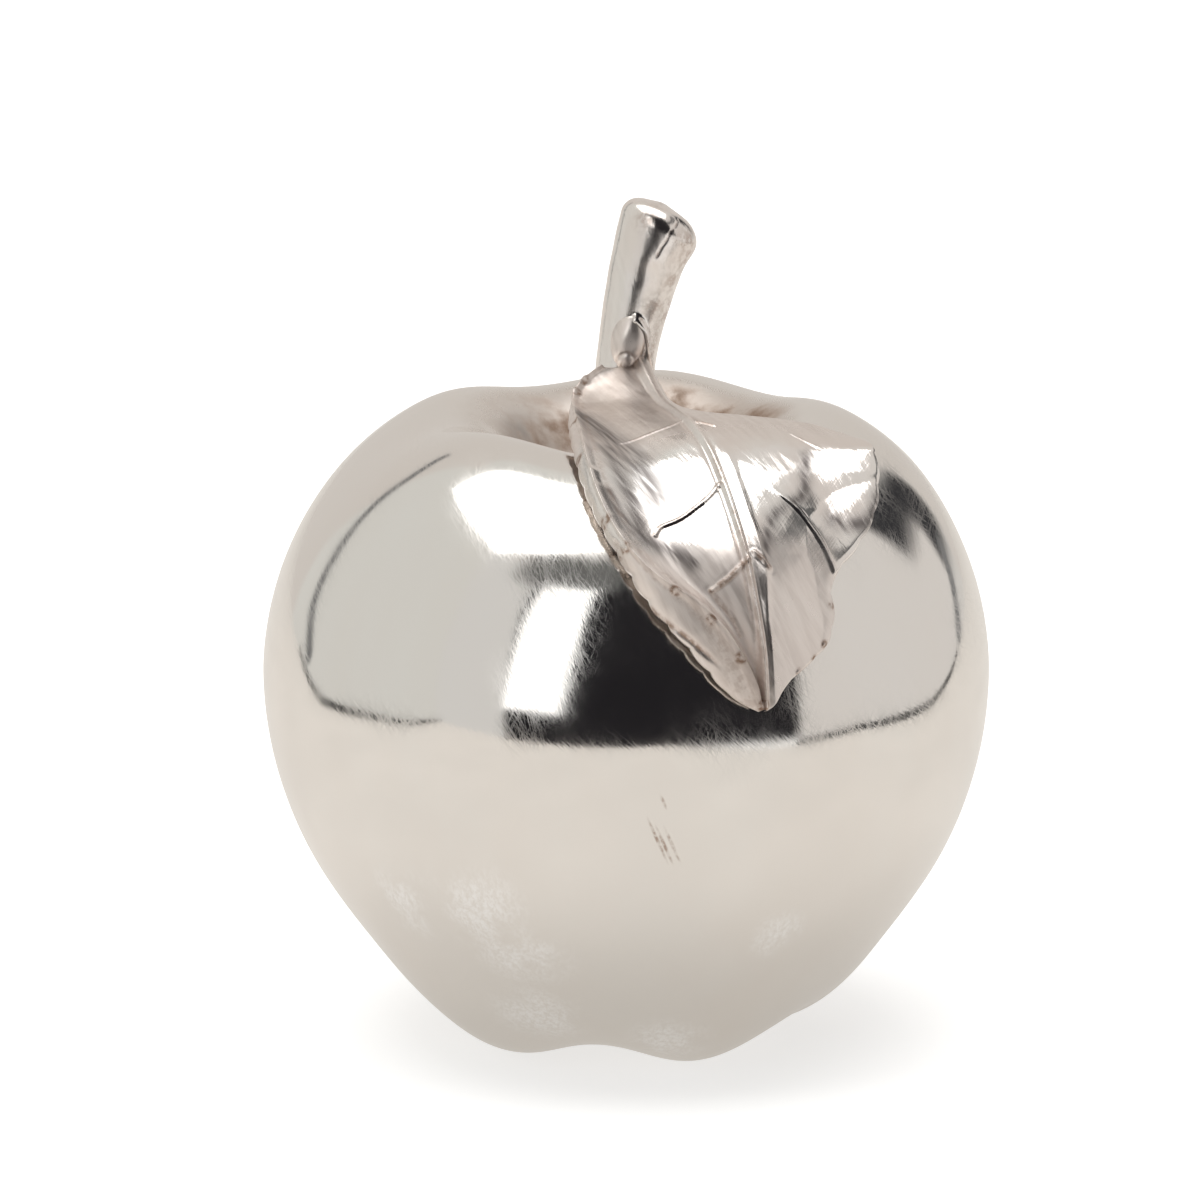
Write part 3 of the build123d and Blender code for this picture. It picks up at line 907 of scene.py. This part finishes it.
def cast_silver(name, axes, polish):
    """Cast silver: warm and with brush lines where satin, brighter where polished, brown in its crevices, and
    darkened on the marked bands by a painted dark reflection.
    """
    shader = Shader(name)
    satin = shader.attribute("satin")
    fine = shader.times(hairlines(shader, axes, 0.22, 50), shader.between(satin, 0, 1, 0.5, 1.0))
    broad = hairlines(shader, axes[:2], 0.7, 26)
    normal = shader.bump(fine, CAST_BUMP)
    normal = shader.bump(broad, BROAD_BUMP, normal)
    normal = shader.bump(shader.noise(1.5), CAST_BUMP, normal)
    speckle = shader.between(shader.noise(0.8, 4.0), 0.4, 0.6, 0.25, 1.0)
    crevice = shader.times(shader.attribute("tarnish"), speckle)
    warm = shader.between(shader.noise(8), 0.35, 0.65, 0.0, 0.6)
    worn = shader.times(shader.between(broad, 0.8, 1.25, 0.0, 0.22), satin)
    # Painted dark reflection on the marked bands, broken up by the broad brush lines; it also roughens them.
    dark_reflection = shader.times(shader.attribute("dark_reflection"), shader.between(broad, 0.72, 1.12, 0.42, 0.95))
    colour = shader.layered(SILVER, (warm, PINK_SILVER), (shader.times(satin, 0.8, clamp=True), SATIN_SILVER),
                            (worn, WORN_SILVER), (dark_reflection, PAINTED_DARK_REFLECTION), (crevice, TARNISH))
    rough = shader.between(shader.noise(3.0), 0.3, 0.7, polish, polish + 0.06)
    rough = shader.add_share(rough, dark_reflection, 0.22)
    rough = shader.add_share(rough, satin, 0.2)
    rough = shader.add_share(rough, crevice, 0.2, clamp=True)
    return shader.metal(colour, rough, normal)


def plain_metal(name, colour, dark, roughness, size):
    """An unpolished hidden metal, mottled between two tones."""
    shader = Shader(name)
    mottle = shader.noise(size, 4.0)
    rough = shader.between(mottle, 0.3, 0.7, roughness, roughness + 0.15)
    return shader.metal(shader.mix(mottle, colour, dark), rough, shader.bump(mottle, 0.02))


# ---- Stage: floor, surrounding light tent, light and camera ----
CAMERA_AZIMUTH = math.radians(-20)
CAMERA_ELEVATION = math.radians(13.5)
CAMERA_DISTANCE = 900
CAMERA_AIM = (-3.1, 8.2)
CAMERA_LENS = 225
# Tones of the table as the object mirrors it and as the camera sees it.
TABLE_MIRRORED = (0.475, 0.452, 0.42)
TABLE_SEEN = (0.6, 0.6, 0.6)
# Corners of the table as (to the camera's right, towards the camera).
TABLE = [(-430, 280), (-275, 120), (-255, -60), (-600, -420), (-1500, -3000), (1500, -3000), (540, -420),
         (255, -60), (240, 80), (175, 150), (60, 312), (-120, 322)]
LIP_HEIGHT = 9


def camera_axes():
    """Directions towards the camera, to its right and up."""
    a, e = CAMERA_AZIMUTH, CAMERA_ELEVATION
    back = Vector((math.sin(a) * math.cos(e), -math.cos(a) * math.cos(e), math.sin(e)))
    right = Vector((math.cos(a), math.sin(a), 0))
    return back, right, back.cross(right)


def build_camera():
    """A long lens at the height and side from which the object is seen."""
    data = bpy.data.cameras.new("camera")
    data.lens = CAMERA_LENS
    data.sensor_width = 36
    camera = place("camera", data)
    bpy.context.scene.camera = camera
    back, right, up = camera_axes()
    aim = Vector((0, 0, EQUATOR_HEIGHT)) + right * CAMERA_AIM[0] + up * CAMERA_AIM[1]
    camera.location = (aim + back * CAMERA_DISTANCE) * MM
    camera.rotation_mode = "QUATERNION"
    camera.rotation_quaternion = (-back).to_track_quat("-Z", "Y")
    data.clip_start = 0.05
    data.clip_end = 20


def build_floor():
    """A pale table. It ends near the object, where the mirror body shows its edge."""
    _, right, _ = camera_axes()
    forward = Vector((right.y, -right.x, 0))
    corners = [tuple((right * across + forward * along) * MM) for across, along in TABLE]
    floor = plain_mesh("floor", corners, [tuple(range(len(corners)))])
    shader = Shader("floor_paper")
    seen = shader.add("LightPath").outputs["Is Camera Ray"]
    grain = shader.between(shader.noise(60, 2.0), 0.3, 0.7, 0.0, 0.05)
    tone = shader.mix(seen, (0.21, 0.20, 0.19), (0.55, 0.55, 0.545))
    floor.data.materials.append(shader.finish({
        "Roughness": 0.9,
        "Specular IOR Level": 0.1,
        "Base Color": shader.mix(grain, tone, (0.7, 0.66, 0.62)),
        "Emission Color": shader.mix(seen, TABLE_MIRRORED, TABLE_SEEN),
        "Emission Strength": 1.0,
    }))
    for name, side in (("left_lip", TABLE[:4]), ("right_lip", TABLE[6:10])):
        build_lip(name, side, right, forward)


def build_lip(name, side, right, forward):
    """A low dark lip along one side of the table, seen only in the mirror body."""
    points = []
    for height in (0.5, LIP_HEIGHT):
        points += [tuple((right * a + forward * b + Vector((0, 0, height))) * MM) for a, b in side]
    count = len(side)
    lip = plain_mesh(name, points, [(i, i + 1, count + i + 1, count + i) for i in range(count - 1)])
    lip.visible_camera = lip.visible_shadow = lip.visible_diffuse = False
    shader = Shader(name)
    shade = shader.mix(shader.noise(90, 2.0), (0.02, 0.02, 0.02), (0.10, 0.10, 0.10))
    lip.data.materials.append(shader.finish({"Base Color": shade, "Roughness": 1.0}))


class Tent(Shader):
    """The world outside the floor: a light tent of pale walls with a dark opening where the camera stands."""

    def __init__(self):
        world = bpy.data.worlds.new("tent")
        bpy.context.scene.world = world
        world.use_nodes = True
        self.tree = world.node_tree
        self.background = self.tree.nodes["Background"]
        look = self.add("TexCoord").outputs["Generated"]
        inputs = {"Vector": look, "Angle": -CAMERA_AZIMUTH}
        turned = self.add("VectorRotate", inputs, rotation_type="Z_AXIS").outputs[0]
        self.x, self.y, self.z = self.add("SeparateXYZ", {0: turned}).outputs
        degrees = 180 / math.pi
        front = self.times(self.y, -1.0)
        self.azimuth = self.times(self.math("ARCTAN2", self.x, front), degrees)
        self.elevation = self.times(self.math("ARCSINE", self.z), degrees)

    def span(self, value, low, high, soft):
        """1 between low and high with soft borders."""
        rise = self.between(value, low - soft, low + soft)
        fall = self.between(value, high - soft, high + soft, 1.0, 0.0)
        return self.times(rise, fall)

    def panel(self, azimuths, elevations, side_soft, end_soft):
        """1 in a part of the tent, with its own softness for its upright and its level borders."""
        return self.times(self.span(self.azimuth, *azimuths, side_soft),
                         self.span(self.elevation, *elevations, end_soft))

    def seam(self, points, width):
        """1 along a line through (azimuth, elevation) points, fading out at width degrees from it."""
        here = self.add("CombineXYZ", {0: self.azimuth, 1: self.elevation}).outputs[0]
        gaps = (self.gap_to(here, *ends) for ends in zip(points, points[1:]))
        return self.between(self.gather("MINIMUM", gaps, 1000.0), 0.35 * width, width, 1.0, 0.0)

    def gap_to(self, place, first, last):
        """Distance from place to the straight line between two (azimuth, elevation) points."""
        start, end = Vector((*first, 0)), Vector((*last, 0))
        length = (end - start).length
        away = self.vector("SUBTRACT", {0: place, 1: start})
        along = self.vector("DOT_PRODUCT", {0: away, 1: (end - start) / length})
        along = self.math("MINIMUM", self.math("MAXIMUM", along, 0.0), length)
        foot = self.vector("SCALE", {0: end - start, "Scale": self.math("DIVIDE", along, length)})
        return self.vector("LENGTH", {0: self.vector("SUBTRACT", {0: away, 1: foot})})


OPENING = (0.016, 0.015, 0.017)
NARROW_GAP = (0.035, 0.035, 0.038)
# Parts of the tent as seen from the object, each over those before it: azimuths from the camera's direction,
# elevations, softness of the upright and of the level borders, all in degrees, and the tone.
PANELS = [
    ((-200, -61), (-60, 70), 1.2, 1.2, (0.68, 0.67, 0.635)),  # left wall
    ((56, 139), (-60, 40), 1.5, 1.5, (0.70, 0.67, 0.64)),  # right wall
    ((148, 200), (-60, 60), 3, 3, (0.65, 0.61, 0.57)),  # back wall, right of the middle
    ((-200, -139), (-60, 60), 2, 2, (0.65, 0.61, 0.57)),  # back wall, left of the middle
    ((-40, 55), (-60, 62), 1.5, 3, OPENING),  # the opening where the camera stands
    ((-61, -38), (-60, 56), 1.2, 2, (0.68, 0.67, 0.65)),  # front edge of the left wall
    ((-46, -8), (49, 64), 4, 3, (0.14, 0.14, 0.135)),  # shade over the opening
    ((138, 148), (4, 25), 1.5, 4, NARROW_GAP),
    ((124, 144), (17, 31), 3, 4, NARROW_GAP),
    ((55, 125), (35, 44), 5, 2.5, (0.12, 0.12, 0.12)),  # shade over the right wall
]
# Dark seams between walls, as (azimuth, elevation) points, with their width and tone.
SEAMS = [
    ([(-150, 36), (-143, 31), (-135, 22), (-129, 12), (-127, 4), (-121, -3)], 2.8, (0.17, 0.17, 0.17)),
    ([(142, 6), (133, -3)], 2.6, (0.2, 0.2, 0.2)),
]
# What shows below the table's near edge, as azimuths and a tone.
BELOW = [((-50, -14), OPENING), ((-14, 85), (0.95, 0.94, 0.92))]
STRIP_WIDTH = 19
STRIP_TONE = (1.7, 1.7, 1.68)
# The overhead panel's half width and half depth for each unit of its height above the object.
OVERHEAD_HALF_WIDTH = 0.62
OVERHEAD_HALF_DEPTH = 0.37
OVERHEAD_TONE = (2.2, 2.2, 2.18)


def build_tent():
    """The walls, the opening, seams and shades, then the white strip and the overhead panel."""
    tent = Tent()
    colour = tent.mix(tent.between(tent.elevation, 20, 60), (0.66, 0.64, 0.61), (0.68, 0.65, 0.62))
    colour = tent.layered(colour, *((tent.panel(*borders), tone) for *borders, tone in PANELS))
    colour = tent.layered(colour, *((tent.seam(points, width), tone) for points, width, tone in SEAMS))
    below = tent.between(tent.elevation, -12, -9, 1.0, 0.0)
    for azimuths, tone in BELOW:
        colour = tent.mix(tent.times(below, tent.span(tent.azimuth, *azimuths, 2)), colour, tone)
    # The strip leans: its left side moves with the elevation.
    strip_left = tent.math("ADD", tent.times(tent.elevation, 0.1), -39.0)
    sideways = tent.span(tent.math("SUBTRACT", tent.azimuth, strip_left), 0, STRIP_WIDTH, 1.2)
    strip = tent.times(sideways, tent.span(tent.elevation, 4, 50, 1.2))
    colour = tent.mix(strip, colour, STRIP_TONE)
    height = tent.math("MAXIMUM", tent.z, 0.05)
    across = tent.span(tent.math("DIVIDE", tent.x, height), -OVERHEAD_HALF_WIDTH, OVERHEAD_HALF_WIDTH, 0.02)
    along = tent.span(tent.math("DIVIDE", tent.y, height), -OVERHEAD_HALF_DEPTH, OVERHEAD_HALF_DEPTH, 0.02)
    colour = tent.mix(tent.times(across, along), colour, OVERHEAD_TONE)
    seen = tent.add("LightPath").outputs["Is Camera Ray"]
    tent.feed(tent.background, {"Color": tent.mix(seen, colour, (1, 1, 1))})


def build_lights():
    """One broad soft light over the table. It isn't seen in the mirror body, which shows the tent instead."""
    data = bpy.data.lights.new("overhead", "AREA")
    data.shape = "RECTANGLE"
    data.size, data.size_y = 900 * MM, 700 * MM
    data.energy = 6
    light = place("overhead", data)
    light.location = Vector((-80, 60, 900)) * MM
    light.visible_glossy = False
    light.visible_camera = False


# ---- Assembly ----
def basin_tarnish(points):
    """Tarnish fills the stem basin, most of all behind the stem, and stops at the rim."""
    radius = np.hypot(points[..., 0], points[..., 1])
    facing = np.cos(np.arctan2(points[..., 1], points[..., 0]) - math.radians(25))
    inside = (1 - ramp(radius, 16.5, 21.5)) * (points[..., 2] > EQUATOR_HEIGHT)
    return inside * np.clip(0.6 + 0.5 * facing + 0.5 * (1 - ramp(radius, 12, 16.5)), 0.05, 1.0)


def build_body(material):
    """The two half shells. Returns the points of the whole outside."""
    points, normals = body_surface()
    tarnish = basin_tarnish(points)
    equator = FLAT_RINGS + UPPER_RINGS - 1
    for name, node, rows in (("apple_upper", "upper_shell", slice(0, equator + 1)),
                             ("apple_lower", "lower_shell", slice(equator, None))):
        half_shell(name, node, points[rows], normals[rows], tarnish[rows], material)
    return points


def build_stem(material):
    """The stem casting, a little satin all over."""
    rings, tarnish = stem_rings()
    piece = ring_solid("stem_casting", rings, {"tarnish": tarnish, "satin": np.full(tarnish.shape, 0.35)})
    finish_piece(piece, material, "stem")


stem_finish = cast_silver("stem_silver", [(0.9, -0.3, -0.1), (0.9, -0.3, 0.3)], 0.08)
leaf_finish = cast_silver("leaf_silver", [(0.8, 0.1, 0.55), (0.9, 0.0, 0.3), (0.7, -0.3, -0.6)], 0.07)
body_points = build_body(body_silver())
build_stem(stem_finish)
build_bud(stem_finish)
build_leaf(leaf_finish, body_points)

hidden_silver = plain_metal("pressed_silver", (0.78, 0.76, 0.73), (0.6, 0.57, 0.53), 0.35, 2.5)
fitting_steel = plain_metal("fitting_steel", (0.6, 0.6, 0.6), (0.45, 0.44, 0.43), 0.3, 1.0)
for node, metal in (("seam_band", hidden_silver), ("vent_plug", hidden_silver), ("stem_stud", fitting_steel),
                    ("basin_washer", fitting_steel), ("stem_nut", fitting_steel)):
    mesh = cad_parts[node].data
    mesh.materials.clear()
    mesh.materials.append(metal)

build_floor()
build_tent()
build_lights()
build_camera()
bpy.context.scene.view_settings.view_transform = "Standard"
